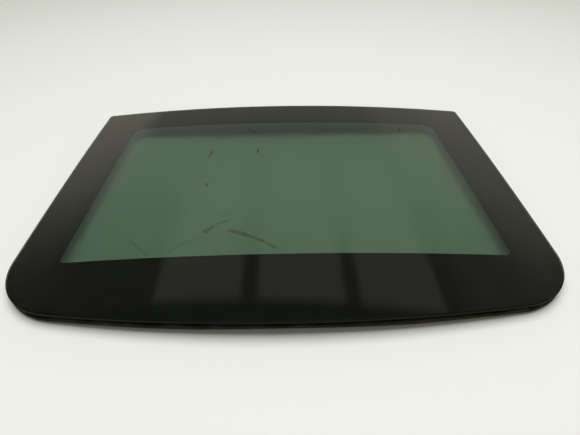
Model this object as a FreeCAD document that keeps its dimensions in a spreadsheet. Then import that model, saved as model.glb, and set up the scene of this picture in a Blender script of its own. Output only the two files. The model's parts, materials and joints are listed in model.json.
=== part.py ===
import FreeCAD, Part
import Sketcher
import math
import os

from FreeCAD import Placement, Rotation, Vector

# Front glass panel of a panoramic sunroof, lying on its seal with the outer face up.
# X runs across the car, +Y to the rear edge of the glass, +Z up. The origin is under the middle
# of the panel, on the surface that the seal stands on.
#
# The glass is crowned both ways. Every layer under it follows that crown, so a layer is the
# space between two surfaces that lie at given depths below the outer face, cut to an outline
# that is set in from the edge of the glass by a given inset.

SIZES = [
    ("glass_width", 877, "glass across its middle"),
    ("glass_length", 691, "glass from its front edge to its rear edge, on the centre line"),
    ("glass_thickness", 5, "toughened glass"),
    ("edge_round", 1.6, "ground round of the glass edge"),
    ("side_taper", 0.4, "degrees that each side leans in towards the rear"),
    ("front_edge_radius", 1990, "bow of the front edge"),
    ("rear_edge_radius", 11300, "bow of the rear edge"),
    ("front_corner_radius", 115, "front corners of the glass"),
    ("rear_corner_radius", 8, "rear corners of the glass"),
    ("tight_corner", 3, "least radius of the inner pieces' rear corners"),
    ("crown_radius_across", 5300, "crown from side to side"),
    ("crown_radius_along", 11000, "crown from front to rear"),
    ("crown_set_back", 57, "highest line of the crown, behind the middle"),
    ("window_front_side", 76, "black border beside the window's front corners"),
    ("window_rear_side", 90, "black border beside the window's rear corners"),
    ("window_front_margin", 136, "black border in front of the window"),
    ("window_rear_margin", 97, "black border behind the window"),
    ("window_front_radius", 9, "front corners of the window"),
    ("window_rear_radius", 30, "rear corners of the window"),
    ("border_inset", 1.8, "bare glass outside the black border"),
    ("border_thickness", 0.3, "fired enamel of the black border"),
    ("moulding_inset", 4, "edge moulding, in from the glass edge"),
    ("moulding_width", 25, "edge moulding from its outer to its inner edge"),
    ("moulding_thickness", 3.2, "plate of the edge moulding"),
    ("rib_depth", 7, "rib of the moulding that the seal is pushed against"),
    ("rib_width", 4, "rib of the moulding"),
    ("seal_inset", 1.5, "seal, in from the glass edge"),
    ("seal_wall", 2.4, "wall of the hollow seal"),
    ("seal_core_width", 8.7, "hollow of the seal, across"),
    ("seal_core_height", 6.7, "hollow of the seal, upright"),
    ("seal_round", 4, "rounded lower edges of the seal"),
    ("rail_inset", 21, "rails, in from the glass edge"),
    ("outer_flange", 8, "outer flange of the rails"),
    ("channel_hollow", 13, "hollow of the rail's channel, across"),
    ("channel_height", 8, "hollow of the rail's channel, upright"),
    ("sheet_thickness", 1.5, "pressed steel of the rails"),
    ("rivet_strip", 13, "inner flange between the channel and the bonding bead"),
    ("bead_width", 6, "bonding bead"),
    ("bead_margin", 1, "inner flange inside the bonding bead"),
    ("joint_gap", 0.6, "gap where two rails meet"),
    ("front_joint", 175.5, "joint of front and side rails, from the front edge"),
    ("rear_joint", 83.5, "joint of rear and side rails, from the rear edge"),
    ("joint_plate_length", 62, "plate that bridges a joint"),
    ("joint_plate_width", 13, "plate across the channel"),
    ("joint_plate_thickness", 1.5, "plate that bridges a joint"),
    ("joint_rivet_inner", 10, "inner rivets of a joint plate, from the joint"),
    ("joint_rivet_margin", 7, "outer rivets of a joint plate, from its ends"),
    ("bracket_front_margin", 20, "side bracket, behind the front joint"),
    ("bracket_rear_margin", 112, "side bracket, in front of the rear joint"),
    ("bracket_inset", 61.5, "mounting face of the side bracket, from the side of the glass"),
    ("bracket_flange", 13.5, "flange of the bracket that lies on the rail"),
    ("bracket_drop", 12.6, "height of the side bracket at its front screw"),
    ("bracket_thickness", 2.5, "pressed steel of the bracket"),
    ("bracket_corner", 5, "rounded lower corners of the bracket"),
    ("bracket_rivet_line", 8.8, "rivets of the bracket, from its mounting face"),
    ("bracket_rivet_margin", 18, "outer rivets of the bracket, from its ends"),
    ("screw_margin", 30, "outer screw holes of the bracket, from its ends"),
    ("inner_screw_pitch", 60, "between the two inner screw holes of the bracket"),
    ("screw_hole", 5.5, "clearance hole for an M5 screw"),
    ("screw_drop", 7.2, "screw holes, below the top of the bracket at its front screw"),
    ("nut_flats", 8, "weld nut across its flats"),
    ("nut_height", 4, "weld nut"),
    ("nut_bore", 4.2, "bore of the weld nut before its thread"),
    ("rivet_shank", 4, "rivet"),
    ("rivet_head", 7, "head of the rivet"),
    ("rivet_crown", 4.2, "flat of the rivet's head"),
    ("rivet_head_height", 1.3, "head of the rivet"),
    ("rivet_rim", 0.4, "rim of the rivet's head"),
    ("rivet_tail", 5.6, "closed end of the rivet"),
    ("rivet_tail_flat", 3.9, "flat of the rivet's closed end"),
    ("rivet_tail_height", 1.1, "closed end of the rivet"),
    ("buffer_width", 13, "rubber stop buffer"),
    ("buffer_face", 8.4, "flat face of the buffer"),
    ("buffer_height", 3.4, "rubber stop buffer, below the rail"),
    ("buffer_rim", 1.2, "rim of the buffer, above its bevel"),
    ("buffer_stem", 5, "stem of the buffer through the rail"),
    ("buffer_barb", 7, "barb that holds the buffer's stem"),
    ("buffer_tip", 3, "tip of the barb"),
    ("buffer_barb_height", 2.6, "barb that holds the buffer's stem"),
    ("buffer_inset", 206, "stop buffers, from the side of the glass"),
    ("seat_clearance", 0.02, "room under a flat head on the crowned sheet"),
    ("prism_height", 260, "reach of the cutting shapes above and below the panel"),
    ("reach", 30, "how far a cutting shape passes what it cuts"),
    ("drill_reach", 7.5, "how far a drill passes its place, both ways"),
]

doc = FreeCAD.newDocument("SunroofGlass")
sheet = doc.addObject("Spreadsheet::Sheet", "Dims")
for row, (alias, value, meaning) in enumerate(SIZES, start=1):
    sheet.set(f"A{row}", meaning)
    sheet.set(f"B{row}", str(value))
    sheet.setAlias(f"B{row}", alias)
stand = doc.addObject("Spreadsheet::Sheet", "Stand")
stand.set("A1", "crown of the glass above the surface that the panel lies on")
stand.set("B1", "0")
stand.setAlias("B1", "rest_height")
doc.recompute()

NODES = []
ENDS = ("front", "rear")
SIDES = {"left": -1, "right": 1}

# Rounding in lengths (mm) and in volumes (mm3).
ROUNDING = 0.001
LEAST_HOLE = 1
# Steps that bring the corner of the outline to rest, and turns that a drill may need.
CORNER_STEPS = 8
DRILL_TURNS = (0, 40, 80, 120, 160)


def size(alias):
    """One value of the sheet."""
    return float(sheet.get(alias))


def total(stack):
    """A depth or an inset as a number: the sum of the sizes that it is stacked from."""
    return sum(size(alias) for alias in stack)


def less(stack):
    """The same sum taken away, as the end of an expression on the sheet."""
    return "".join(f" - Dims.{alias}" for alias in stack)


# Depths below the outer face, from the glass down.
GLASS_BACK = ["glass_thickness"]
BORDER_BACK = GLASS_BACK + ["border_thickness"]
MOULDING_BACK = BORDER_BACK + ["moulding_thickness"]
RIB_END = MOULDING_BACK + ["rib_depth"]
SEAL_CORE_TOP = MOULDING_BACK + ["seal_wall"]
SEAL_CORE_END = SEAL_CORE_TOP + ["seal_core_height"]
SEAL_END = SEAL_CORE_END + ["seal_wall"]
FLANGE_BACK = MOULDING_BACK + ["sheet_thickness"]
CHANNEL_ROOF = MOULDING_BACK + ["channel_height"]
RAIL_END = CHANNEL_ROOF + ["sheet_thickness"]
PLATE_BACK = RAIL_END + ["joint_plate_thickness"]
BRACKET_BACK = FLANGE_BACK + ["bracket_thickness"]
BRACKET_END = FLANGE_BACK + ["bracket_drop"]
WEB_ROOM = BRACKET_END + ["reach"]

# Where the side brackets lie, as expressions.
BRACKET_FACE = "(Dims.glass_width / 2 - Dims.bracket_inset)"
BRACKET_FRONT = "(Dims.front_joint + Dims.bracket_front_margin - Dims.glass_length / 2)"
BRACKET_REAR = "(Dims.glass_length / 2 - Dims.rear_joint - Dims.bracket_rear_margin)"
BRACKET_LENGTH = f"({BRACKET_REAR} - {BRACKET_FRONT})"
BRACKET_MIDDLE = f"(({BRACKET_REAR} + {BRACKET_FRONT}) / 2)"
FRONT_SCREW = f"({BRACKET_FRONT} + Dims.screw_margin)"

# Insets from the edge of the glass, going inwards.
SEAL_CORE_OUTER = ["seal_inset", "seal_wall"]
SEAL_CORE_INNER = SEAL_CORE_OUTER + ["seal_core_width"]
SEAL_INNER = SEAL_CORE_INNER + ["seal_wall"]
RIB_INNER = SEAL_INNER + ["rib_width"]
MOULDING_INNER = ["moulding_inset", "moulding_width"]
CHANNEL_OUTER = ["rail_inset", "outer_flange"]
HOLLOW_OUTER = CHANNEL_OUTER + ["sheet_thickness"]
HOLLOW_INNER = HOLLOW_OUTER + ["channel_hollow"]
CHANNEL_INNER = HOLLOW_INNER + ["sheet_thickness"]
BEAD_OUTER = CHANNEL_INNER + ["rivet_strip"]
BEAD_INNER = BEAD_OUTER + ["bead_width"]
RAIL_INNER = BEAD_INNER + ["bead_margin"]


def node(feature, label):
    """Gives a finished piece its name and stands it at its height."""
    feature.Label = label
    feature.setExpression("Placement.Base.z", "Stand.rest_height")
    NODES.append(feature)
    return feature


def origin_plane(body, role):
    return next(plane for plane in body.Origin.OriginFeatures if plane.Role == role)


def body_sketch(body, role, name):
    sketch = body.newObject("Sketcher::SketchObject", name)
    sketch.AttachmentSupport = (origin_plane(body, role), "")
    sketch.MapMode = "FlatFace"
    return sketch


def constrain(sketch, kind, *references, tied=None):
    """Adds a constraint, and ties its value to the sheet where an expression is given."""
    index = sketch.addConstraint(Sketcher.Constraint(kind, *references))
    if tied:
        sketch.setExpression(f"Constraints[{index}]", tied)


def close_loop(sketch, first, count):
    """Joins each edge of a loop to the next one, end to start."""
    for step in range(count):
        constrain(sketch, "Coincident", first + step, 2, first + (step + 1) % count, 1)


def side_x(y, inset=0.0):
    """Half the width of the glass at a place along it, less an inset."""
    taper = math.radians(size("side_taper"))
    return size("glass_width") / 2 - y * math.tan(taper) - inset / math.cos(taper)


def joint_y(end):
    """Where the rail of an end meets the side rails."""
    half_length = size("glass_length") / 2
    if end == "front":
        return size("front_joint") - half_length
    return half_length - size("rear_joint")


def front_y(x, inset=0.0):
    """The front edge at a distance from the centre line, less an inset."""
    radius = size("front_edge_radius")
    return radius - size("glass_length") / 2 - math.sqrt((radius - inset) ** 2 - x**2)


def rear_y(x, inset=0.0):
    radius = size("rear_edge_radius")
    return size("glass_length") / 2 - radius + math.sqrt((radius - inset) ** 2 - x**2)


def outline_corner(edge_y, inset):
    """Where a side meets the front or rear edge, found from one and the other by turns."""
    y = 0.0
    for _ in range(CORNER_STEPS):
        x = side_x(y, inset)
        y = edge_y(x, inset)
    return Vector(x, y, 0)


def mirrored(point):
    return Vector(-point.x, point.y, point.z)


def arc_through(centre_y, radius, start, end):
    """An arc round a centre on the centre line, counter-clockwise from start to end."""
    centre = Vector(0, centre_y, 0)
    circle = Part.Circle(centre, Vector(0, 0, 1), radius)
    angles = [math.atan2(p.y - centre_y, p.x) for p in (start, end)]
    return Part.ArcOfCircle(circle, angles[0], angles[1])


def draw_outline(sketch, inset):
    """The outline of the glass with sharp corners, set in all round by one inset."""
    depth = total(inset)
    front_radius = size("front_edge_radius")
    rear_radius = size("rear_edge_radius")
    half_length = size("glass_length") / 2
    front = outline_corner(front_y, depth)
    rear = outline_corner(rear_y, depth)
    sketch.addGeometry(
        arc_through(front_radius - half_length, front_radius - depth, mirrored(front), front)
    )
    sketch.addGeometry(Part.LineSegment(front, rear))
    sketch.addGeometry(
        arc_through(half_length - rear_radius, rear_radius - depth, rear, mirrored(rear))
    )
    sketch.addGeometry(Part.LineSegment(mirrored(rear), mirrored(front)))
    close_loop(sketch, 0, 4)
    constrain(sketch, "Symmetric", 0, 1, 0, 2, -2)
    constrain(sketch, "Symmetric", 2, 1, 2, 2, -2)
    constrain(
        sketch, "Radius", 0, front_radius - depth, tied="Dims.front_edge_radius" + less(inset)
    )
    constrain(
        sketch, "Radius", 2, rear_radius - depth, tied="Dims.rear_edge_radius" + less(inset)
    )
    constrain(
        sketch, "DistanceY", -1, 1, 0, 3, front_radius - half_length,
        tied="Dims.front_edge_radius - Dims.glass_length / 2",
    )
    constrain(
        sketch, "DistanceY", 2, 3, -1, 1, rear_radius - half_length,
        tied="Dims.rear_edge_radius - Dims.glass_length / 2",
    )
    taper = math.radians(size("side_taper"))
    constrain(sketch, "Angle", 1, math.pi / 2 + taper, tied="90 + Dims.side_taper")
    constrain(
        sketch, "Distance", -1, 1, 1, size("glass_width") / 2 * math.cos(taper) - depth,
        tied="Dims.glass_width / 2 * cos(Dims.side_taper * 1deg)" + less(inset),
    )


def draw_window(sketch):
    """The clear window inside the black border, with sharp corners."""
    half_length = size("glass_length") / 2
    half_width = size("glass_width") / 2
    front = Vector(
        half_width - size("window_front_side"), size("window_front_margin") - half_length, 0
    )
    rear = Vector(
        half_width - size("window_rear_side"), half_length - size("window_rear_margin"), 0
    )
    corners = [mirrored(front), front, rear, mirrored(rear)]
    for step in range(4):
        sketch.addGeometry(Part.LineSegment(corners[step], corners[(step + 1) % 4]))
    close_loop(sketch, 0, 4)
    constrain(sketch, "Symmetric", 0, 1, 0, 2, -2)
    constrain(sketch, "Symmetric", 2, 1, 2, 2, -2)
    constrain(
        sketch, "DistanceX", 0, 1, 0, 2, 2 * front.x,
        tied="Dims.glass_width - 2 * Dims.window_front_side",
    )
    constrain(
        sketch, "DistanceX", 2, 2, 2, 1, 2 * rear.x,
        tied="Dims.glass_width - 2 * Dims.window_rear_side",
    )
    constrain(
        sketch, "DistanceY", 0, 2, -1, 1, -front.y,
        tied="Dims.glass_length / 2 - Dims.window_front_margin",
    )
    constrain(
        sketch, "DistanceY", -1, 1, 2, 1, rear.y,
        tied="Dims.glass_length / 2 - Dims.window_rear_margin",
    )


def upright_edges(shape, side):
    """Names of the upright edges in front of the middle (side -1) or behind it (side 1)."""
    names = []
    for number, edge in enumerate(shape.Edges, start=1):
        ends = [vertex.Point for vertex in edge.Vertexes]
        if len(ends) < 2:
            continue
        run = ends[0] - ends[1]
        upright = math.hypot(run.x, run.y) < ROUNDING
        if upright and ends[0].y * side > 0:
            names.append(f"Edge{number}")
    return names


def prism(name, draw, front_radius, rear_radius):
    """An upright prism on an outline, with the front and the rear corners rounded."""
    body = doc.addObject("PartDesign::Body", name)
    sketch = body_sketch(body, "XY_Plane", name + "Outline")
    draw(sketch)
    pad = body.newObject("PartDesign::Pad", name + "Pad")
    pad.Profile = sketch
    pad.SideType = "Symmetric"
    pad.setExpression("Length", "Dims.prism_height")
    doc.recompute()
    base = pad
    for side, radius in ((-1, front_radius), (1, rear_radius)):
        round_off = body.newObject("PartDesign::Fillet", name + ("Front" if side < 0 else "Rear"))
        round_off.Base = (base, upright_edges(base.Shape, side))
        round_off.setExpression("Radius", radius)
        doc.recompute()
        base = round_off
    return body


OUTLINES = {}


def outline_prism(inset):
    """The prism on the glass outline at an inset, made once for each inset."""
    key = "_".join(inset) or "glass_edge"
    if key not in OUTLINES:
        front = "Dims.front_corner_radius" + less(inset)
        rear = f"max(Dims.rear_corner_radius{less(inset)}; Dims.tight_corner)"
        name = "Outline" + "".join(word.title() for word in key.split("_"))
        OUTLINES[key] = prism(name, lambda sketch: draw_outline(sketch, inset), front, rear)
    return OUTLINES[key]


BANDS = {}


def band(top, bottom):
    """The space between two depths under the crowned outer face, made once for each pair."""
    key = "_".join(top) + "_to_" + "_".join(bottom)
    if key in BANDS:
        return BANDS[key]
    name = "Band" + str(len(BANDS) + 1)
    sketch = doc.addObject("Sketcher::SketchObject", name + "Profile")
    sketch.Placement = Placement(Vector(), Rotation(Vector(1, 0, 0), 90))
    sketch.setExpression("Placement.Base.y", "Dims.crown_set_back")
    across = size("crown_radius_across")
    half = size("glass_width") / 2 + size("reach")
    ends = []
    for depth in (total(top), total(bottom)):
        ends.append(Vector(half, math.sqrt((across - depth) ** 2 - half**2) - across, 0))
    sketch.addGeometry(arc_through(-across, across - total(top), ends[0], mirrored(ends[0])))
    sketch.addGeometry(Part.LineSegment(mirrored(ends[0]), mirrored(ends[1])))
    sketch.addGeometry(arc_through(-across, across - total(bottom), ends[1], mirrored(ends[1])))
    sketch.addGeometry(Part.LineSegment(ends[1], ends[0]))
    constrain(sketch, "Coincident", 0, 2, 1, 1)
    constrain(sketch, "Coincident", 1, 2, 2, 2)
    constrain(sketch, "Coincident", 2, 1, 3, 1)
    constrain(sketch, "Coincident", 3, 2, 0, 1)
    constrain(sketch, "Coincident", 0, 3, 2, 3)
    constrain(sketch, "Symmetric", 0, 1, 0, 2, -2)
    constrain(sketch, "Vertical", 1)
    constrain(sketch, "Vertical", 3)
    constrain(sketch, "DistanceY", 0, 3, -1, 1, across, tied="Dims.crown_radius_across")
    constrain(sketch, "DistanceX", 0, 2, 0, 1, 2 * half, tied="Dims.glass_width + 2 * Dims.reach")
    for index, stack in ((0, top), (2, bottom)):
        constrain(
            sketch, "Radius", index, across - total(stack),
            tied="Dims.crown_radius_across" + less(stack),
        )
    swept = doc.addObject("Part::Revolution", name)
    swept.Source = sketch
    swept.Axis = Vector(1, 0, 0)
    swept.Base = Vector(0, size("crown_set_back"), -size("crown_radius_along"))
    swept.setExpression("Base.y", "Dims.crown_set_back")
    swept.setExpression("Base.z", "-Dims.crown_radius_along")
    swept.Symmetric = True
    swept.Solid = True
    half_length = "(Dims.glass_length / 2 + Dims.crown_set_back + Dims.reach)"
    swept.setExpression("Angle", f"2 * asin({half_length} / Dims.crown_radius_along)")
    BANDS[key] = swept
    return swept


def combine(kind, name, **inputs):
    """A boolean. Its crowned faces are left as they are cut, because joining them up can fail."""
    result = doc.addObject(kind, name)
    for label, value in inputs.items():
        setattr(result, label, value)
    result.Refine = False
    return result


def common(name, *features):
    return combine("Part::MultiCommon", name, Shapes=list(features))


def cut(name, base, tool):
    return combine("Part::Cut", name, Base=base, Tool=tool)


def fuse(name, *features):
    return combine("Part::MultiFuse", name, Shapes=list(features))


def ring(name, outer, inner, top, bottom):
    """A ring round the glass between two insets and two depths."""
    blank = common(name + "Blank", outline_prism(outer), band(top, bottom))
    return cut(name, blank, outline_prism(inner))


def box(name, **ends):
    """A box from x0 to x1, y0 to y1 and z0 to z1, each end an expression on the sheet."""
    block = doc.addObject("Part::Box", name)
    for axis, side in (("x", "Length"), ("y", "Width"), ("z", "Height")):
        low = ends.get(axis + "0", "-Dims.prism_height * 2")
        high = ends.get(axis + "1", "Dims.prism_height * 2")
        block.setExpression(f"Placement.Base.{axis}", low)
        block.setExpression(side, f"({high}) - ({low})")
    return block


def turned(name, profile):
    """A turned piece round its own Z: a closed profile of radius and height expressions."""
    body = doc.addObject("PartDesign::Body", name)
    sketch = body_sketch(body, "XZ_Plane", name + "Profile")
    count = len(profile)
    rough = [
        Vector(math.cos(math.tau * step / count) + 2, math.sin(math.tau * step / count), 0)
        for step in range(count)
    ]
    for step in range(count):
        sketch.addGeometry(Part.LineSegment(rough[step], rough[(step + 1) % count]))
    close_loop(sketch, 0, count)
    for step, (radius, height) in enumerate(profile):
        if radius:
            constrain(sketch, "DistanceX", -1, 1, step, 1, rough[step].x, tied=radius)
        else:
            constrain(sketch, "PointOnObject", step, 1, -2)
        constrain(sketch, "DistanceY", -1, 1, step, 1, rough[step].y, tied=height)
    spin = body.newObject("PartDesign::Revolution", name + "Spin")
    spin.Profile = sketch
    spin.ReferenceAxis = (sketch, ["V_Axis"])
    spin.Angle = 360
    return body


def seat(x, y, depth):
    """A spot of the plan, taken straight into the glass by a depth, with Z pointing back out."""
    across = size("crown_radius_across")
    along = size("crown_radius_along")
    set_back = size("crown_set_back")
    arm = along - across + math.sqrt(across**2 - x**2)
    lean_across = math.asin(x / across)
    lean_along = math.asin((y - set_back) / arm)
    outward = Vector(
        math.sin(lean_across),
        math.cos(lean_across) * math.sin(lean_along),
        math.cos(lean_across) * math.cos(lean_along),
    )
    on_face = Vector(x, y, arm * math.cos(lean_along) - along)
    return Placement(on_face - outward * total(depth), Rotation(Vector(0, 0, 1), outward))


def level(x, y, depth):
    """Height of the surface at a depth, over a spot of the plan."""
    across = size("crown_radius_across")
    along = size("crown_radius_along")
    arm = along - across + math.sqrt((across - total(depth)) ** 2 - x**2)
    return math.sqrt(arm**2 - (y - size("crown_set_back")) ** 2) - along


def bracket_face():
    """The mounting face of a side bracket, from the centre line."""
    return size("glass_width") / 2 - size("bracket_inset")


def bracket_ends():
    """The front and the rear end of a side bracket."""
    front = joint_y("front") + size("bracket_front_margin")
    rear = joint_y("rear") - size("bracket_rear_margin")
    return front, rear


def bracket_level(depth):
    """The level over the front screw of a bracket, where the rail is lowest over its screws."""
    return level(bracket_face(), bracket_ends()[0] + size("screw_margin"), depth)


def bracket_level_tied(depth):
    """The same as an expression."""
    across = f"(Dims.crown_radius_across{less(depth)})"
    arm = (
        "(Dims.crown_radius_along - Dims.crown_radius_across"
        f" + sqrt({across}^2 - {BRACKET_FACE}^2))"
    )
    behind = f"({FRONT_SCREW} - Dims.crown_set_back)"
    return f"(sqrt({arm}^2 - {behind}^2) - Dims.crown_radius_along)"


def copies(name, piece, places):
    """Like pieces at several places, kept as separate solids of one feature."""
    links = []
    for number, place in enumerate(places, start=1):
        link = doc.addObject("App::Link", f"{name}{number}")
        link.LinkedObject = piece
        link.Placement = place
        links.append(link)
    group = doc.addObject("Part::Compound", name)
    group.Links = links
    return group


def drilled(name, piece, drill_body, places):
    """Holes cut one by one.

    Where the seam of a drill lies badly on a crowned sheet, its cut can leave the sheet whole.
    The volume shows that, and the drill is then turned on its own axis and cut again.
    """
    doc.recompute()
    for number, place in enumerate(places, start=1):
        tool = doc.addObject("App::Link", f"{name}Drill{number}")
        tool.LinkedObject = drill_body
        hole = cut(f"{name}Drilled{number}", piece, tool)
        for turn in DRILL_TURNS:
            tool.Placement = place * Placement(Vector(), Rotation(Vector(0, 0, 1), turn))
            doc.recompute()
            if piece.Shape.Volume - hole.Shape.Volume > LEAST_HOLE:
                break
        piece = hole
    return piece


def glass_pane():
    """Toughened glass, crowned both ways, with a ground round edge."""
    pane = common("GlassBlank", outline_prism([]), band([], GLASS_BACK))
    doc.recompute()
    rim = doc.addObject("Part::Fillet", "GlassEdge")
    rim.Base = pane
    radius = size("edge_round")
    rim.Edges = [
        (number, radius, radius)
        for number, edge in enumerate(pane.Shape.Edges, start=1)
        if edge.Length > 2 * size("glass_thickness")
    ]
    return node(rim, "glass_pane")


def ceramic_border():
    """Black enamel fired on the back of the glass, round a clear window."""
    window = prism("Window", draw_window, "Dims.window_front_radius", "Dims.window_rear_radius")
    coat = common("BorderCoat", outline_prism(["border_inset"]), band(GLASS_BACK, BORDER_BACK))
    return node(cut("Border", coat, window), "ceramic_border")


def edge_moulding():
    """Moulded polyurethane round the back of the glass, with a rib inside the seal."""
    plate = ring("MouldingPlate", ["moulding_inset"], MOULDING_INNER, BORDER_BACK, MOULDING_BACK)
    rib = ring("MouldingRib", SEAL_INNER, RIB_INNER, BORDER_BACK, RIB_END)
    return node(fuse("Moulding", plate, rib), "edge_moulding")


def perimeter_seal():
    """Hollow rubber seal under the edge of the glass, closed on itself."""
    blank = ring("SealBlank", ["seal_inset"], SEAL_INNER, MOULDING_BACK, SEAL_END)
    doc.recompute()
    radius = size("seal_round")
    lower_edges = []
    for number, edge in enumerate(blank.Shape.Edges, start=1):
        middle = edge.valueAt((edge.FirstParameter + edge.LastParameter) / 2)
        if middle.z < level(middle.x, middle.y, SEAL_CORE_END):
            lower_edges.append((number, radius, radius))
    rounded = doc.addObject("Part::Fillet", "SealRound")
    rounded.Base = blank
    rounded.Edges = lower_edges
    core = ring("SealCore", SEAL_CORE_OUTER, SEAL_CORE_INNER, SEAL_CORE_TOP, SEAL_CORE_END)
    return node(cut("Seal", rounded, core), "perimeter_seal")


def bonding_bead():
    """Adhesive between the black border and the inner flange of the rails."""
    return node(ring("Bead", BEAD_OUTER, BEAD_INNER, BORDER_BACK, MOULDING_BACK), "bonding_bead")


def rail_section():
    """The pressed rails as one closed ring: two flanges and a channel that opens to the glass."""
    blank = ring("RailBlank", ["rail_inset"], RAIL_INNER, MOULDING_BACK, RAIL_END)
    hollow = ring("RailHollow", HOLLOW_OUTER, HOLLOW_INNER, BORDER_BACK, CHANNEL_ROOF)
    outside = ring("RailOutside", ["seal_inset"], CHANNEL_OUTER, FLANGE_BACK, PLATE_BACK)
    inside = common("RailInside", outline_prism(CHANNEL_INNER), band(FLANGE_BACK, PLATE_BACK))
    return cut("RailSection", blank, fuse("RailCuts", hollow, outside, inside))


def channel_place(side, y, depth):
    """A spot on the middle of a side rail's channel."""
    middle = total(HOLLOW_OUTER) + size("channel_hollow") / 2
    return seat(side * side_x(y, middle), y, depth)


def joint_places(side, joint_y, depth):
    """The rivets of one joint plate, two in each rail."""
    inner = size("joint_rivet_inner")
    outer = size("joint_plate_length") / 2 - size("joint_rivet_margin")
    return [channel_place(side, joint_y + step, depth) for step in (-outer, -inner, inner, outer)]


def bracket_places(side, depth):
    """The four rivets of one side bracket, in line along it."""
    line = bracket_face() + size("bracket_rivet_line")
    front, rear = bracket_ends()
    first = front + size("bracket_rivet_margin")
    pitch = (rear - size("bracket_rivet_margin") - first) / 3
    return [seat(side * line, first + step * pitch, depth) for step in range(4)]


def screw_offsets():
    """Screw holes of a side bracket, from its middle: an outer and an inner pair."""
    front, rear = bracket_ends()
    outer = (rear - front) / 2 - size("screw_margin")
    inner = size("inner_screw_pitch") / 2
    return [-outer, -inner, inner, outer]


def buffer_places(depth):
    """Stop buffers under the front and the rear rail."""
    middle = total(HOLLOW_OUTER) + size("channel_hollow") / 2
    x = size("glass_width") / 2 - size("buffer_inset")
    places = {}
    for end, edge_y in (("front", front_y), ("rear", rear_y)):
        for hand, side in SIDES.items():
            places[f"{end}_{hand}"] = seat(side * x, edge_y(x, middle), depth)
    return places


def rivet(name, grip):
    """A closed rivet: its head under the lower sheet, its tail over the upper one."""
    clear = "Dims.seat_clearance"
    return turned(name, [
        (None, f"-Dims.rivet_head_height - {clear}"),
        ("Dims.rivet_crown / 2", f"-Dims.rivet_head_height - {clear}"),
        ("Dims.rivet_head / 2", f"-Dims.rivet_rim - {clear}"),
        ("Dims.rivet_head / 2", f"-{clear}"),
        ("Dims.rivet_shank / 2", f"-{clear}"),
        ("Dims.rivet_shank / 2", f"{grip} + {clear}"),
        ("Dims.rivet_tail / 2", f"{grip} + {clear}"),
        ("Dims.rivet_tail / 2", f"{grip} + Dims.rivet_rim + {clear}"),
        ("Dims.rivet_tail_flat / 2", f"{grip} + Dims.rivet_tail_height + {clear}"),
        (None, f"{grip} + Dims.rivet_tail_height + {clear}"),
    ])


def drill(name, diameter):
    """A cutting cylinder that reaches the same way above and below its place."""
    return turned(name, [
        (None, "-Dims.drill_reach"),
        (f"{diameter} / 2", "-Dims.drill_reach"),
        (f"{diameter} / 2", "Dims.drill_reach"),
        (None, "Dims.drill_reach"),
    ])


def rails(section, rivet_drill, stem_drill):
    """The ring of rails parted into a front, a rear and two side rails, with their holes."""
    gap = "Dims.joint_gap / 2"
    front_joint = "Dims.front_joint - Dims.glass_length / 2"
    rear_joint = "Dims.glass_length / 2 - Dims.rear_joint"
    side_ends = {"y0": f"{front_joint} + {gap}", "y1": f"{rear_joint} - {gap}"}
    joints = {
        (hand, end): joint_places(side, joint_y(end), RAIL_END)
        for hand, side in SIDES.items()
        for end in ENDS
    }
    buffers = buffer_places(RAIL_END)
    end_rooms = {
        "front": box("FrontRoom", y1=f"{front_joint} - {gap}"),
        "rear": box("RearRoom", y0=f"{rear_joint} + {gap}"),
    }
    for end, room in end_rooms.items():
        own = slice(0, 2) if end == "front" else slice(2, 4)
        rivet_places = joints["left", end][own] + joints["right", end][own]
        stems = [buffers[f"{end}_left"], buffers[f"{end}_right"]]
        name = end.title() + "Rail"
        riveted = drilled(name, common(name + "Blank", section, room), rivet_drill, rivet_places)
        node(drilled(name + "Stem", riveted, stem_drill, stems), f"{end}_rail")
    for hand, side in SIDES.items():
        half = {"x1": "0"} if side < 0 else {"x0": "0"}
        room = box(hand.title() + "Room", **half, **side_ends)
        places = joints[hand, "front"][2:] + joints[hand, "rear"][:2]
        places += bracket_places(side, FLANGE_BACK)
        name = hand.title() + "Rail"
        blank = common(name + "Blank", section, room)
        node(drilled(name, blank, rivet_drill, places), f"{hand}_rail")


def joint_plates(rivet_drill, joint_rivet):
    """Plates under the rails that bridge their joints, each with four rivets."""
    for end in ENDS:
        for hand, side in SIDES.items():
            name = f"{end.title()}{hand.title()}Joint"
            blank = doc.addObject("Part::Box", name + "Blank")
            blank.setExpression("Length", "Dims.joint_plate_width")
            blank.setExpression("Width", "Dims.joint_plate_length")
            blank.setExpression("Height", "Dims.prism_height")
            middle = channel_place(side, joint_y(end), RAIL_END).Base
            turn = Rotation(Vector(0, 0, 1), side * size("side_taper"))
            corner = Vector(
                -size("joint_plate_width") / 2,
                -size("joint_plate_length") / 2,
                -size("prism_height") / 2,
            )
            blank.Placement = Placement(middle + turn.multVec(corner), turn)
            plate = common(name + "Plate", blank, band(RAIL_END, PLATE_BACK))
            places = joint_places(side, joint_y(end), RAIL_END)
            node(drilled(name, plate, rivet_drill, places), f"{end}_{hand}_joint_plate")
            rivets = copies(
                name + "Rivet", joint_rivet, joint_places(side, joint_y(end), PLATE_BACK)
            )
            node(rivets, f"{end}_{hand}_joint_rivets")


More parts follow.
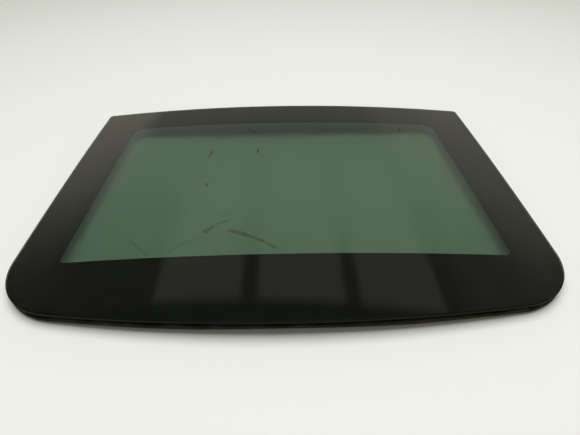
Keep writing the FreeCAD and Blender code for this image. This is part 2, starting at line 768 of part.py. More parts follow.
def bracket_web(name, side):
    """The upright web of a side bracket: rounded lower corners and a row of screw holes."""
    body = doc.addObject("PartDesign::Body", name)
    sketch = body_sketch(body, "YZ_Plane", name + "Outline")
    front, rear = bracket_ends()
    half = (rear - front) / 2
    glass = bracket_level(GLASS_BACK)
    flange = bracket_level(FLANGE_BACK)
    low = bracket_level(BRACKET_END)
    hole = flange - size("screw_drop")
    corners = [(-half, low), (half, low), (half, glass), (-half, glass)]
    points = [Vector(y, z, 0) for y, z in corners]
    for step in range(4):
        sketch.addGeometry(Part.LineSegment(points[step], points[(step + 1) % 4]))
    close_loop(sketch, 0, 4)
    constrain(sketch, "Horizontal", 2)
    constrain(sketch, "Vertical", 1)
    constrain(sketch, "Vertical", 3)
    constrain(sketch, "Symmetric", 0, 1, 0, 2, -2)
    constrain(sketch, "DistanceX", 0, 1, 0, 2, 2 * half, tied=BRACKET_LENGTH)
    low_tied, glass_tied = bracket_level_tied(BRACKET_END), bracket_level_tied(GLASS_BACK)
    constrain(sketch, "DistanceY", 0, 1, -1, 1, -low, tied=f"-{low_tied}")
    constrain(sketch, "DistanceY", 2, 1, -1, 1, -glass, tied=f"-{glass_tied}")
    offsets = screw_offsets()
    for number, offset in enumerate(offsets, start=4):
        centre = Vector(offset, hole, 0)
        sketch.addGeometry(Part.Circle(centre, Vector(0, 0, 1), size("screw_hole") / 2))
        constrain(sketch, "Diameter", number, size("screw_hole"), tied="Dims.screw_hole")
        constrain(
            sketch, "DistanceY", number, 3, -1, 1, -hole,
            tied=f"Dims.screw_drop - {bracket_level_tied(FLANGE_BACK)}",
        )
    outer_pitch = f"{BRACKET_LENGTH} - 2 * Dims.screw_margin"
    constrain(sketch, "DistanceX", 4, 3, 7, 3, offsets[3] - offsets[0], tied=outer_pitch)
    constrain(
        sketch, "DistanceX", 5, 3, 6, 3, offsets[2] - offsets[1], tied="Dims.inner_screw_pitch"
    )
    constrain(sketch, "DistanceX", 4, 3, -1, 1, -offsets[0], tied=f"({outer_pitch}) / 2")
    constrain(sketch, "DistanceX", 5, 3, -1, 1, -offsets[1], tied="Dims.inner_screw_pitch / 2")
    pad = body.newObject("PartDesign::Pad", name + "Pad")
    pad.Profile = sketch
    pad.setExpression("Length", "Dims.bracket_thickness")
    pad.Reversed = side < 0
    doc.recompute()
    lower_corners = [
        f"Edge{number}"
        for number, edge in enumerate(pad.Shape.Edges, start=1)
        if len(edge.Vertexes) == 2
        and abs(edge.Length - size("bracket_thickness")) < ROUNDING
        and edge.Vertexes[0].Point.z < flange
    ]
    rounded = body.newObject("PartDesign::Fillet", name + "Corners")
    rounded.Base = (pad, lower_corners)
    rounded.setExpression("Radius", "Dims.bracket_corner")
    body.setExpression("Placement.Base.x", f"{side} * {BRACKET_FACE}")
    body.setExpression("Placement.Base.y", BRACKET_MIDDLE)
    return body


def side_brackets(rivet_drill, bracket_rivet):
    """Pressed angle under each side rail that the sliding carriage is screwed to."""
    for hand, side in SIDES.items():
        name = hand.title() + "Bracket"
        ends = [f"{side} * {BRACKET_FACE}", f"{side} * ({BRACKET_FACE} + Dims.bracket_flange)"]
        near, far = ends[::side]
        room = box(name + "Room", x0=near, x1=far, y0=BRACKET_FRONT, y1=BRACKET_REAR)
        flange = common(name + "Flange", room, band(FLANGE_BACK, BRACKET_BACK))
        web = common(
            name + "Web", bracket_web(name + "WebBody", side), band(FLANGE_BACK, WEB_ROOM)
        )
        angle = fuse(name + "Angle", flange, web)
        places = bracket_places(side, BRACKET_BACK)
        node(drilled(name, angle, rivet_drill, places), f"{hand}_bracket")
        rivets = copies(name + "Rivet", bracket_rivet, bracket_places(side, BRACKET_BACK))
        node(rivets, f"{hand}_bracket_rivets")


def weld_nuts():
    """Hexagon nuts on the outer face of each bracket, in line with its screw holes."""
    blank = doc.addObject("Part::Prism", "NutBlank")
    blank.Polygon = 6
    blank.setExpression("Circumradius", "Dims.nut_flats / 2 / cos(30deg)")
    blank.setExpression("Height", "Dims.nut_height")
    bore = doc.addObject("Part::Cylinder", "NutBore")
    bore.setExpression("Radius", "Dims.nut_bore / 2")
    bore.setExpression("Height", "Dims.nut_height * 2")
    bore.setExpression("Placement.Base.z", "-Dims.nut_height / 2")
    nut = cut("Nut", blank, bore)
    hole_z = bracket_level(FLANGE_BACK) - size("screw_drop")
    middle = sum(bracket_ends()) / 2
    for hand, side in SIDES.items():
        flats_level = Rotation(Vector(0, 0, 1), 30)
        outward = Rotation(Vector(0, 1, 0), side * 90)
        x = side * (bracket_face() + size("bracket_thickness"))
        places = [
            Placement(Vector(x, middle + offset, hole_z), outward * flats_level)
            for offset in screw_offsets()
        ]
        node(copies(hand.title() + "Nut", nut, places), f"{hand}_weld_nuts")


def stop_buffers():
    """Rubber buttons under the front and rear rails, each held by a barbed stem."""
    clear = "Dims.seat_clearance"
    button = turned("Buffer", [
        (None, "-Dims.buffer_height"),
        ("Dims.buffer_face / 2", "-Dims.buffer_height"),
        ("Dims.buffer_width / 2", "-Dims.buffer_rim"),
        ("Dims.buffer_width / 2", f"-{clear}"),
        ("Dims.buffer_stem / 2", f"-{clear}"),
        ("Dims.buffer_stem / 2", f"Dims.sheet_thickness + {clear}"),
        ("Dims.buffer_barb / 2", f"Dims.sheet_thickness + {clear}"),
        ("Dims.buffer_tip / 2", f"Dims.sheet_thickness + Dims.buffer_barb_height + {clear}"),
        (None, f"Dims.sheet_thickness + Dims.buffer_barb_height + {clear}"),
    ])
    for place_name, place in buffer_places(RAIL_END).items():
        name = "".join(word.title() for word in place_name.split("_")) + "Buffer"
        node(copies(name, button, [place]), f"{place_name}_buffer")


def build():
    # The panel stands on its seal, so the seal's lowest point is the floor.
    seal = perimeter_seal()
    doc.recompute()
    stand.set("B1", str(-seal.Shape.optimalBoundingBox(False, False).ZMin))
    glass_pane()
    ceramic_border()
    edge_moulding()
    bonding_bead()
    rivet_drill = drill("RivetDrill", "Dims.rivet_shank")
    stem_drill = drill("StemDrill", "Dims.buffer_stem")
    rails(rail_section(), rivet_drill, stem_drill)
    joint_plates(
        rivet_drill, rivet("JointRivet", "Dims.sheet_thickness + Dims.joint_plate_thickness")
    )
    side_brackets(
        rivet_drill, rivet("BracketRivet", "Dims.sheet_thickness + Dims.bracket_thickness")
    )
    weld_nuts()
    stop_buffers()
    doc.recompute()


def check_and_write():
    for feature in doc.Objects:
        if {"Invalid", "Error"} & set(feature.State):
            raise RuntimeError(f"{feature.Name} is {feature.State}")
    for feature in NODES:
        shape = feature.Shape
        if shape.isNull() or not shape.isValid() or not shape.Solids:
            raise RuntimeError(f"{feature.Label} has no valid solid")
    os.makedirs("parts", exist_ok=True)
    for feature in NODES:
        feature.Shape.exportStep(f"parts/{feature.Label}.step")
        box_size = feature.Shape.optimalBoundingBox(False, False)
        print(
            f"{feature.Label}: {len(feature.Shape.Solids)} solids, "
            f"{feature.Shape.Volume / 1000:.1f} cm3, "
            f"{box_size.XLength:.1f} x {box_size.YLength:.1f} x {box_size.ZLength:.1f} mm"
        )


build()
check_and_write()
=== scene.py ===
"""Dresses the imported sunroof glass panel: camera, light and the finish of every piece."""

import json
import math

import bpy
from mathutils import Matrix, Vector

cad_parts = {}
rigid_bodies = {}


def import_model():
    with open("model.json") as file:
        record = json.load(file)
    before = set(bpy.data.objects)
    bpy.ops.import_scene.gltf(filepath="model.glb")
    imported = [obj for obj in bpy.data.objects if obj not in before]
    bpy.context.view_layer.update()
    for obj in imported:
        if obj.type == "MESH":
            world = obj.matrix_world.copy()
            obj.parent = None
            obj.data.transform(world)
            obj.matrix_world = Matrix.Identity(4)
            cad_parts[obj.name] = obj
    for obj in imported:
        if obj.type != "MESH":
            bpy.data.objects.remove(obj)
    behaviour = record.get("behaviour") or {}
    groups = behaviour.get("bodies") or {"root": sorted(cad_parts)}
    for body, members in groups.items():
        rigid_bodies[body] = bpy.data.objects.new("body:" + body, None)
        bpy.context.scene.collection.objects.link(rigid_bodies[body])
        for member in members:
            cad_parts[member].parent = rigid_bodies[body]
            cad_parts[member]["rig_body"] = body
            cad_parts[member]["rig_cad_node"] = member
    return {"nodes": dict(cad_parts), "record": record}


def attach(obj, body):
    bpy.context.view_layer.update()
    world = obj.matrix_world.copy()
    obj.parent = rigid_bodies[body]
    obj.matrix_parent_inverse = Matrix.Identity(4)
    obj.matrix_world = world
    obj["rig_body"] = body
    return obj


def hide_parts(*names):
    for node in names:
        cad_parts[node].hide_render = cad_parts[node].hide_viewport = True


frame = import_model()
nodes = frame["nodes"]
bpy.ops.object.select_all(action="DESELECT")
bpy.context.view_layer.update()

MM = 0.001

# What one pass leaves of the light in the green glass, and in a smear on it.
GLASS_TINT = (0.183, 0.247, 0.195, 1.0)
SMEAR_TINT = (0.12, 0.115, 0.06, 1.0)
# The same for one face only, as lamp light passes two faces.
GLASS_SHADE = (0.433, 0.503, 0.447, 1.0)

# Camera

FOCAL_PX = 464.26
IMAGE_PX = 580.0
SENSOR = 36.0
CAMERA_AT = (-0.0013, -0.7573, 0.5283)
YAW = math.radians(0.797)
PITCH = math.radians(37.537)
ROLL = math.radians(-0.457)


def add_camera():
    """The camera stands in front of the panel, as it does in the photograph."""
    ahead = Vector(
        (
            math.sin(YAW) * math.cos(PITCH),
            math.cos(YAW) * math.cos(PITCH),
            -math.sin(PITCH),
        )
    )
    level = Vector((math.cos(YAW), -math.sin(YAW), 0.0))
    upright = level.cross(ahead)
    right = level * math.cos(ROLL) + upright * math.sin(ROLL)
    up = upright * math.cos(ROLL) - level * math.sin(ROLL)
    turn = Matrix((right, up, -ahead)).transposed().to_4x4()
    data = bpy.data.cameras.new("camera")
    data.sensor_width = SENSOR
    data.lens = FOCAL_PX / IMAGE_PX * SENSOR
    data.clip_start = 0.01
    data.clip_end = 60.0
    camera = bpy.data.objects.new("camera", data)
    camera.matrix_world = Matrix.Translation(CAMERA_AT) @ turn
    bpy.context.collection.objects.link(camera)
    bpy.context.scene.camera = camera


# Materials


def linear(code):
    """A written sRGB colour as the linear colour that Blender takes."""
    parts = [int(code[i : i + 2], 16) / 255 for i in (1, 3, 5)]
    return tuple(
        p / 12.92 if p <= 0.04045 else ((p + 0.055) / 1.055) ** 2.4 for p in parts
    ) + (1.0,)


def add(tree, kind, inputs=None, **settings):
    """Adds a node: settings are its own options, inputs are values or sockets to link."""
    node = tree.nodes.new(kind)
    for name, value in settings.items():
        setattr(node, name, value)
    for name, value in (inputs or {}).items():
        if isinstance(value, bpy.types.NodeSocket):
            tree.links.new(value, node.inputs[name])
        else:
            node.inputs[name].default_value = value
    return node


def new_material(name):
    """An empty material with its output node, and the place of each point on the object."""
    material = bpy.data.materials.new(name)
    material.use_nodes = True
    tree = material.node_tree
    tree.nodes.clear()
    place = add(tree, "ShaderNodeTexCoord").outputs["Object"]
    return material, tree, place


def finish_with(tree, shader):
    """Links a shader's output to the material's surface."""
    add(tree, "ShaderNodeOutputMaterial", {"Surface": shader})


def ramp(tree, value, low, high, at_low, at_high):
    """A soft step of the value, from at_low to at_high."""
    return add(
        tree,
        "ShaderNodeMapRange",
        {
            "Value": value,
            "From Min": low,
            "From Max": high,
            "To Min": at_low,
            "To Max": at_high,
        },
        interpolation_type="SMOOTHSTEP",
    ).outputs["Result"]


def combine(tree, how, first, second):
    """Two values joined by one operation of a Math node."""
    return add(
        tree, "ShaderNodeMath", {0: first, 1: second}, operation=how
    ).outputs["Value"]


def patches(tree, place, size_mm, low, high, detail=4.0, rough=0.55):
    """A mask from 0 to 1 with soft patches about size_mm across."""
    noise = add(
        tree,
        "ShaderNodeTexNoise",
        {
            "Vector": place,
            "Scale": 1.0 / (size_mm * MM),
            "Detail": detail,
            "Roughness": rough,
        },
    )
    return ramp(tree, noise.outputs["Fac"], low, high, 0.0, 1.0)


def blend_colours(tree, mask, under, over):
    """Colour under where the mask is 0, colour over where it is 1."""
    mix = add(tree, "ShaderNodeMix", {"Factor": mask}, data_type="RGBA")
    colours = [s for s in mix.inputs if s.type == "RGBA"]
    for socket, value in zip(colours, (under, over)):
        if isinstance(value, bpy.types.NodeSocket):
            tree.links.new(value, socket)
        else:
            socket.default_value = value
    return [s for s in mix.outputs if s.type == "RGBA"][0]


def between(tree, mask, low, high):
    """The value low where the mask is 0 and high where it is 1."""
    return add(
        tree, "ShaderNodeMapRange", {"Value": mask, "To Min": low, "To Max": high}
    ).outputs["Result"]


def bumps(tree, height, depth_mm, normal=None):
    """A normal from a height between 0 and 1, depth_mm deep."""
    inputs = {"Height": height, "Distance": depth_mm * MM, "Strength": 1.0}
    if normal is not None:
        inputs["Normal"] = normal
    return add(tree, "ShaderNodeBump", inputs).outputs["Normal"]


# A smear gets thinner up to TAPER_ENDS of its half length, to THIN_END of its width, and
# fades where the square of the way from its middle passes TIP_FADE.
TAPER_ENDS = 0.2
THIN_END = 0.5
TIP_FADE = 0.85


def stroke(tree, place, start, end, width_mm, bow):
    """A mask for one wiped smear: from its thick start to its thin end (mm), half width
    width_mm at the start, bowed sideways by bow half widths."""
    run = (end[0] - start[0], end[1] - start[1])
    turned = add(
        tree,
        "ShaderNodeMapping",
        {
            "Vector": place,
            "Location": ((start[0] + end[0]) / 2 * MM, (start[1] + end[1]) / 2 * MM, 0),
            "Rotation": (0, 0, math.atan2(run[1], run[0])),
            "Scale": (math.hypot(*run) / 2 * MM, width_mm * MM, 1),
        },
        vector_type="TEXTURE",
    )
    local = add(
        tree, "ShaderNodeSeparateXYZ", {"Vector": turned.outputs["Vector"]}
    ).outputs
    along = combine(tree, "MULTIPLY", local["X"], local["X"])
    bowed = combine(tree, "ADD", combine(tree, "MULTIPLY", along, bow), local["Y"])
    across = combine(tree, "SUBTRACT", bowed, bow)
    taper = add(
        tree,
        "ShaderNodeMapRange",
        {
            "Value": local["X"],
            "From Min": -1.0,
            "From Max": TAPER_ENDS,
            "To Min": 1.0,
            "To Max": THIN_END,
        },
    ).outputs["Result"]
    across = combine(tree, "DIVIDE", across, taper)
    across = combine(tree, "MULTIPLY", across, across)
    body = ramp(tree, across, 1.0, 0.0, 0.0, 1.0)
    tips = ramp(tree, along, 1.0, TIP_FADE, 0.0, 1.0)
    return combine(tree, "MULTIPLY", body, tips)


# Dried smears and flecks on the outer face: start, end (mm), half width (mm), bow, strength.
SMEARS = (
    ((-137, -154), (-122, -141), 8.5, 0.2, 1.3),
    ((-131, -150), (-99, -126), 5.5, 0.9, 0.9),
    ((-99, -150), (-15, -197), 7.5, 0.6, 1.0),
    ((-94, -165), (-72, -187), 6.0, 0.3, 0.3),
    ((-156, -174), (-188, -204), 5.0, -1.0, 0.55),
    ((-158, -175), (-130, -158), 3.0, -1.0, 0.4),
    ((-114, -105), (-88, -111), 3.6, 0.6, 0.6),
    ((-262, -164), (-220, -206), 4.5, 0.0, 0.4),
    ((-151, -7), (-149, -20), 3.8, 0.0, 1.8),
    ((-155, 118), (-159, 88), 3.6, 0.3, 2.0),
    ((-57, 120), (-56, 104), 4.2, 0.0, 2.0),
    ((-62, 194), (-82, 226), 4.0, 0.8, 1.8),
    ((267, 223), (257, 198), 4.4, 0.6, 2.0),
    ((285, 180), (312, 208), 3.2, 0.3, 1.0),
    ((99, 206), (97, 190), 3.6, 0.0, 1.2),
)


def tinted_glass():
    """Toughened soda-lime glass, green in the mass, with dried smears and a thin dust film."""
    material, tree, place = new_material("tinted_glass")
    smeared = None
    for start, end, width, bow, strength in SMEARS:
        mark = stroke(tree, place, start, end, width, bow)
        mark = combine(tree, "MULTIPLY", mark, strength)
        if smeared is not None:
            mark = combine(tree, "MAXIMUM", smeared, mark)
        smeared = mark
    streaks = patches(tree, place, 7.0, 0.25, 0.6)
    smeared = combine(tree, "MULTIPLY", smeared, streaks)
    tint = blend_colours(tree, smeared, GLASS_TINT, SMEAR_TINT)
    film = patches(tree, place, 35.0, 0.35, 0.75)
    film = between(tree, film, 0.015, 0.05)
    glass = add(
        tree,
        "ShaderNodeBsdfPrincipled",
        {
            "Base Color": tint,
            "Roughness": film,
            "IOR": 1.52,
            "Transmission Weight": 1.0,
        },
    )
    clear = add(tree, "ShaderNodeBsdfTransparent", {"Color": GLASS_SHADE})
    ray = add(tree, "ShaderNodeLightPath")
    mix = add(
        tree,
        "ShaderNodeMixShader",
        {
            0: ray.outputs["Is Shadow Ray"],
            1: glass.outputs["BSDF"],
            2: clear.outputs["BSDF"],
        },
    )
    finish_with(tree, mix.outputs["Shader"])
    return material


def ground_glass_edge():
    """The glass's edge, ground round with a wheel and backed by the moulding: matt, and an opaque
    near-black painted shade where the real edge is tinted glass that reads dark.
    """
    material, tree, place = new_material("ground_glass_edge")
    grind = patches(tree, place, 1.2, 0.3, 0.7)
    # Painted shade: opaque near-black colour for the dark look of the tinted glass edge; the grind
    # patches only vary it a little.
    colour = blend_colours(tree, grind, linear("#050705"), linear("#0b0e0b"))
    shader = add(
        tree,
        "ShaderNodeBsdfPrincipled",
        {
            "Base Color": colour,
            "Roughness": between(tree, grind, 0.5, 0.7),
            "Specular IOR Level": 0.12,
        },
    )
    finish_with(tree, shader.outputs["BSDF"])
    return material


def black_enamel():
    """Ceramic enamel screen printed on the back and fired: dense black, and one with the glass."""
    material, tree, place = new_material("black_enamel")
    cloud = patches(tree, place, 30.0, 0.35, 0.7)
    grain = patches(tree, place, 1.5, 0.3, 0.7)
    colour = blend_colours(tree, cloud, linear("#0e0e0d"), linear("#141411"))
    shader = add(
        tree,
        "ShaderNodeBsdfPrincipled",
        {
            "Base Color": colour,
            "Roughness": between(tree, grain, 0.5, 0.65),
            "Specular IOR Level": 0.15,
            "Normal": bumps(tree, grain, 0.03),
        },
    )
    finish_with(tree, shader.outputs["BSDF"])
    return material


def moulded_polyurethane():
    """Polyurethane moulded round the glass: fine eroded grain, satin black."""
    material, tree, place = new_material("moulded_polyurethane")
    grain = patches(tree, place, 0.8, 0.3, 0.7)
    dust = patches(tree, place, 45.0, 0.42, 0.72)
    colour = blend_colours(tree, dust, linear("#141413"), linear("#24231f"))
    shader = add(
        tree,
        "ShaderNodeBsdfPrincipled",
        {
            "Base Color": colour,
            "Roughness": between(tree, dust, 0.5, 0.75),
            "Specular IOR Level": 0.15,
            "Normal": bumps(tree, grain, 0.04),
        },
    )
    finish_with(tree, shader.outputs["BSDF"])
    return material


def seal_rubber():
    """Extruded cellular rubber: dull, with dust in soft patches and black between them."""
    material, tree, place = new_material("seal_rubber")
    grain = patches(tree, place, 0.9, 0.3, 0.7)
    dust = patches(tree, place, 28.0, 0.38, 0.66)
    colour = blend_colours(tree, dust, linear("#0f0f0c"), linear("#29251b"))
    shader = add(
        tree,
        "ShaderNodeBsdfPrincipled",
        {
            "Base Color": colour,
            "Roughness": between(tree, dust, 0.62, 0.9),
            "Specular IOR Level": 0.1,
            "Normal": bumps(tree, grain, 0.05),
        },
    )
    finish_with(tree, shader.outputs["BSDF"])
    return material


def cured_adhesive():
    """One-part polyurethane adhesive, squeezed out and cured: smooth, slightly rubbery black."""
    material, tree, place = new_material("cured_adhesive")
    ripple = patches(tree, place, 6.0, 0.3, 0.7)
    colour = blend_colours(tree, ripple, linear("#191918"), linear("#222221"))
    shader = add(
        tree,
        "ShaderNodeBsdfPrincipled",
        {
            "Base Color": colour,
            "Roughness": between(tree, ripple, 0.3, 0.42),
            "Normal": bumps(tree, ripple, 0.15),
        },
    )
    finish_with(tree, shader.outputs["BSDF"])
    return material


def dip_coated_steel():
    """Pressed sheet steel, dip coated black: thin even paint with a faint orange peel."""
    material, tree, place = new_material("dip_coated_steel")
    peel = patches(tree, place, 2.2, 0.3, 0.7)
    dust = patches(tree, place, 60.0, 0.45, 0.75)
    colour = blend_colours(tree, dust, linear("#171717"), linear("#25241f"))
    shader = add(
        tree,
        "ShaderNodeBsdfPrincipled",
        {
            "Base Color": colour,
            "Roughness": between(tree, dust, 0.4, 0.65),
            "Specular IOR Level": 0.3,
            "Normal": bumps(tree, peel, 0.03),
        },
    )
    finish_with(tree, shader.outputs["BSDF"])
    return material


def zinc_plated_steel():
    """Zinc plated and clear passivated steel: pale grey, clouded, slightly bluish."""
    material, tree, place = new_material("zinc_plated_steel")
    cloud = patches(tree, place, 14.0, 0.35, 0.65)
    grain = patches(tree, place, 0.7, 0.3, 0.7)
    colour = blend_colours(tree, cloud, linear("#b9bcbd"), linear("#9c9d98"))
    shader = add(
        tree,
        "ShaderNodeBsdfPrincipled",
        {
            "Base Color": colour,
            "Metallic": 1.0,
            "Roughness": between(tree, cloud, 0.32, 0.48),
            "Normal": bumps(tree, grain, 0.02),
        },
    )
    finish_with(tree, shader.outputs["BSDF"])
    return material


def moulded_rubber():
    """Solid moulded rubber: matt black with a greyish bloom."""
    material, tree, place = new_material("moulded_rubber")
    bloom = patches(tree, place, 9.0, 0.4, 0.7)
    grain = patches(tree, place, 0.6, 0.3, 0.7)
    colour = blend_colours(tree, bloom, linear("#222222"), linear("#30302f"))
    shader = add(
        tree,
        "ShaderNodeBsdfPrincipled",
        {
            "Base Color": colour,
            "Roughness": between(tree, bloom, 0.6, 0.8),
            "Normal": bumps(tree, grain, 0.03),
        },
    )
    finish_with(tree, shader.outputs["BSDF"])
    return material


# How far the enamel reaches into the glass (mm).
FUSED = 0.12
# Faces of the glass that stand steeper than this (upward share of the normal) are its edge.
EDGE_SLOPE = 0.88

FINISHES = {
    "tinted_glass": tinted_glass,
    "black_enamel": black_enamel,
    "moulded_polyurethane": moulded_polyurethane,
    "seal_rubber": seal_rubber,
    "adhesive": cured_adhesive,
    "coated_steel": dip_coated_steel,
    "plated_steel": zinc_plated_steel,
    "buffer_rubber": moulded_rubber,
}


def dress_nodes():
    """Gives each CAD node the finish of its slot in the record, and the glass its ground edge."""
    made = {slot: build() for slot, build in FINISHES.items()}
    for part in frame["record"]["subparts"]:
        mesh = nodes[part["node"]].data
        mesh.materials.clear()
        mesh.materials.append(made[part["material_slot"]])
    pane = nodes["glass_pane"].data
    pane.materials.append(ground_glass_edge())
    edge_slot = len(pane.materials) - 1
    for face in pane.polygons:
        if abs(face.normal.z) < EDGE_SLOPE:
            face.material_index = edge_slot


# Stage and light

FLOOR_COLOUR = "#f4f6f1"
FLOOR_HALF = 6.0
FLOOR_DROP = 0.0001


def add_floor():
    """A plain pale table top under the panel."""
    bpy.ops.mesh.primitive_plane_add(
        size=2 * FLOOR_HALF, location=(0.0, 0.0, -FLOOR_DROP)
    )
    floor = bpy.context.object
    floor.name = "floor"
    material, tree, place = new_material("pale_table_top")
    shader = add(
        tree,
        "ShaderNodeBsdfPrincipled",
        {
            "Base Color": linear(FLOOR_COLOUR),
            "Roughness": 0.6,
            "Specular IOR Level": 0.2,
        },
    )
    finish_with(tree, shader.outputs["BSDF"])
    floor.data.materials.append(material)
    floor.select_set(False)


WHITE_LIGHT = (1.0, 1.0, 0.985, 1.0)
WARM_LIGHT = (1.0, 0.99, 0.8, 1.0)
# Three long dim panels overhead, behind the table, that show in the glass. Each has its
# left and right edge: metres off the middle for each metre of height.
PANELS = ((-0.448, -0.15), (-0.094, 0.195), (0.247, 0.527))
# Where they begin, and where they fade out, in metres behind the table on the same scale.
PANELS_BEGIN = (0.77, 0.83)
PANELS_SLANT = 0.06
PANELS_FADE = (1.25, 1.95)
# How blurred their edges are, near and far.
PANEL_SOFT = (0.016, 0.08)
PANEL_LIGHT = 0.24
# Where the brighter left and right walls of the room begin, metres off the middle.
LEFT_WALL = (-0.72, -1.0)
RIGHT_WALL = (0.75, 1.0)
# How bright they are, near and far.
LEFT_LIGHT = (0.03, 0.35)
RIGHT_LIGHT = (0.02, 0.17)
# The ceiling between the panels gets brighter towards the back of the room.
CEILING_BEGIN = (0.77, 0.8)
CEILING = (1.0, 1.7)
CEILING_LIGHT = (0.095, 0.24)
# The back wall, and the right corner of the ceiling.
BACK_WALL = (2.05, 2.45)
BACK_LIGHT = 0.12
CORNER = (0.5, 0.7)
CORNER_LIGHT = 0.09
# The room in front of the table, low and high, and the light straight overhead.
FRONT_LIGHT = (0.9, 0.26)
OVERHEAD_LIGHT = 0.25


def add_world():
    """Soft room light, dim behind the panel, with a white background for the camera."""
    world = bpy.data.worlds.new("studio")
    bpy.context.scene.world = world
    world.use_nodes = True
    tree = world.node_tree
    tree.nodes.clear()
    direction = add(tree, "ShaderNodeTexCoord").outputs["Generated"]
    part = add(tree, "ShaderNodeSeparateXYZ", {"Vector": direction}).outputs
    height = combine(tree, "MAXIMUM", part["Z"], 0.05)
    across = combine(tree, "DIVIDE", part["X"], height)
    away = combine(tree, "DIVIDE", part["Y"], height)
    soft = ramp(tree, away, 0.9, 1.4, *PANEL_SOFT)
    panels = None
    for left, right in PANELS:
        in_left = combine(tree, "SUBTRACT", across, left)
        in_right = combine(tree, "SUBTRACT", right, across)
        inside = combine(tree, "MINIMUM", in_left, in_right)
        panel = ramp(tree, combine(tree, "DIVIDE", inside, soft), -1.0, 1.0, 0.0, 1.0)
        panels = panel if panels is None else combine(tree, "ADD", panels, panel)
    slanted = combine(
        tree, "ADD", combine(tree, "MULTIPLY", across, PANELS_SLANT), away
    )
    begun = ramp(tree, slanted, *PANELS_BEGIN, 0.0, 1.0)
    panels = combine(tree, "MULTIPLY", panels, begun)
    panels = combine(
        tree, "MULTIPLY", panels, ramp(tree, away, *PANELS_FADE, PANEL_LIGHT, 0.0)
    )
    ceiling = ramp(tree, away, *CEILING, *CEILING_LIGHT)
    left_wall = combine(
        tree,
        "MULTIPLY",
        ramp(tree, across, *LEFT_WALL, 0.0, 1.0),
        ramp(tree, away, 0.8, 2.1, *LEFT_LIGHT),
    )
    right_wall = combine(
        tree,
        "MULTIPLY",
        ramp(tree, across, *RIGHT_WALL, 0.0, 1.0),
        ramp(tree, away, 0.85, 1.3, *RIGHT_LIGHT),
    )
    foot = ramp(tree, away, *BACK_WALL, 0.0, BACK_LIGHT)
    walls = combine(tree, "MAXIMUM", combine(tree, "MAXIMUM", left_wall, right_wall), foot)
    corner = ramp(tree, across, *CORNER, 0.0, CORNER_LIGHT)
    ceiling = combine(tree, "ADD", ceiling, corner)
    ceiling = combine(tree, "MULTIPLY", ceiling, ramp(tree, slanted, *CEILING_BEGIN, 0.7, 1.0))
    behind = combine(tree, "ADD", panels, combine(tree, "ADD", ceiling, walls))
    front = combine(
        tree,
        "MULTIPLY",
        ramp(tree, part["Y"], 0.25, -0.45, 0.0, 1.0),
        ramp(tree, part["Z"], 0.2, 0.45, *FRONT_LIGHT),
    )
    overhead = ramp(tree, part["Z"], 0.88, 0.97, 0.0, OVERHEAD_LIGHT)
    strength = combine(
        tree, "MAXIMUM", behind, combine(tree, "MAXIMUM", front, overhead)
    )
    colour = blend_colours(
        tree, ramp(tree, part["Z"], 0.7, 0.85, 0.0, 1.0), WARM_LIGHT, WHITE_LIGHT
    )
    room = add(
        tree,
        "ShaderNodeBackground",
        {"Color": colour, "Strength": strength},
    )
    white = add(
        tree, "ShaderNodeBackground", {"Color": linear(FLOOR_COLOUR), "Strength": 1.0}
    )
    ray = add(tree, "ShaderNodeLightPath").outputs
    seen = combine(tree, "MAXIMUM", ray["Is Camera Ray"], ray["Is Transmission Ray"])
    mix = add(
        tree,
        "ShaderNodeMixShader",
        {0: seen, 1: room.outputs["Background"], 2: white.outputs["Background"]},
    )
    add(tree, "ShaderNodeOutputWorld", {"Surface": mix.outputs["Shader"]})


# The lamp over the table: metres and watts.
LAMP_AT = (0.1, 0.0, 3.3)
LAMP_AIM = (0.1, 0.1, 0.0)
LAMP_SIZE = 3.0
LAMP_POWER = 102.0


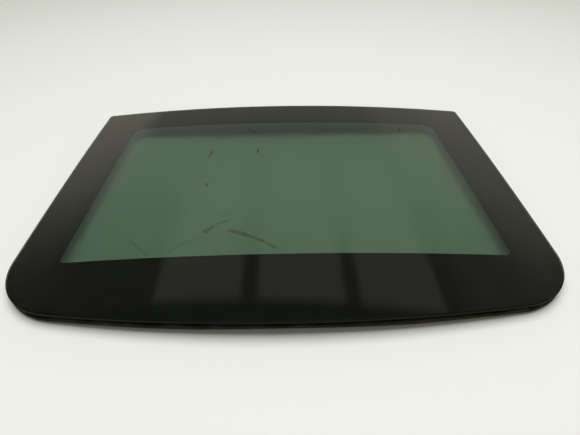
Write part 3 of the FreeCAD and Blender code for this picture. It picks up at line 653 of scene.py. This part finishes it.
def add_lamp(name, at, aim, size, power):
    """A large square soft box, which doesn't show as a glare in the glass."""
    data = bpy.data.lights.new(name, "AREA")
    data.shape = "SQUARE"
    data.size = size
    data.energy = power
    lamp = bpy.data.objects.new(name, data)
    lamp.location = at
    lamp.rotation_euler = (Vector(aim) - Vector(at)).to_track_quat("-Z", "Y").to_euler()
    lamp.visible_glossy = False
    bpy.context.collection.objects.link(lamp)


def merged_copy(name, new_name):
    """A copy of a CAD node with its loose triangles joined, which takes the node's place."""
    bpy.ops.object.select_all(action="DESELECT")
    piece = nodes[name].copy()
    piece.data = nodes[name].data.copy()
    piece.name = new_name
    bpy.context.collection.objects.link(piece)
    piece.select_set(True)
    bpy.context.view_layer.objects.active = piece
    bpy.ops.object.mode_set(mode="EDIT")
    bpy.ops.mesh.select_all(action="SELECT")
    bpy.ops.mesh.remove_doubles(threshold=1e-6)
    bpy.ops.object.mode_set(mode="OBJECT")
    piece.select_set(False)
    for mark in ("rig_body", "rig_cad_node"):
        if mark in piece:
            del piece[mark]
    piece.parent = None
    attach(piece, "root")
    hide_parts(name)
    return piece


def print_enamel():
    """The border's enamel, a hair inside the glass: the two are fused, with no air between."""
    enamel = merged_copy("ceramic_border", "enamel_print")
    for point in enamel.data.vertices:
        point.co.z += FUSED * MM


# The front of the soft seal has sagged in waves: depth, wave length and reach (mm).
SAG = 1.5
SAG_LENGTH = 365.0
SAG_REACH = 300.0
# The seal's height (mm), and its top line in front: height in the middle and fall outwards.
SEAL_HEIGHT = 12.0
SEAL_TOP = 26.0
SEAL_FALL = 8e-5


def sag_seal():
    """The rubber seal with its lower half gone slightly wavy in front, as on the photo."""
    seal = merged_copy("perimeter_seal", "sagged_seal")
    for point in seal.data.vertices:
        x, y, z = (value / MM for value in point.co)
        if y > 0 or abs(x) > SAG_REACH:
            continue
        top = SEAL_TOP - SEAL_FALL * x * x
        low = min(max((top - z) / SEAL_HEIGHT, 0.0), 1.0)
        fade = 1.0 - (x / SAG_REACH) ** 4
        wave = math.cos(2 * math.pi * x / SAG_LENGTH)
        point.co.z += SAG * wave * fade * low * MM


add_camera()
dress_nodes()
print_enamel()
sag_seal()
add_floor()
add_world()
add_lamp("overhead_box", LAMP_AT, LAMP_AIM, LAMP_SIZE, LAMP_POWER)

bpy.context.scene.view_settings.view_transform = "Standard"
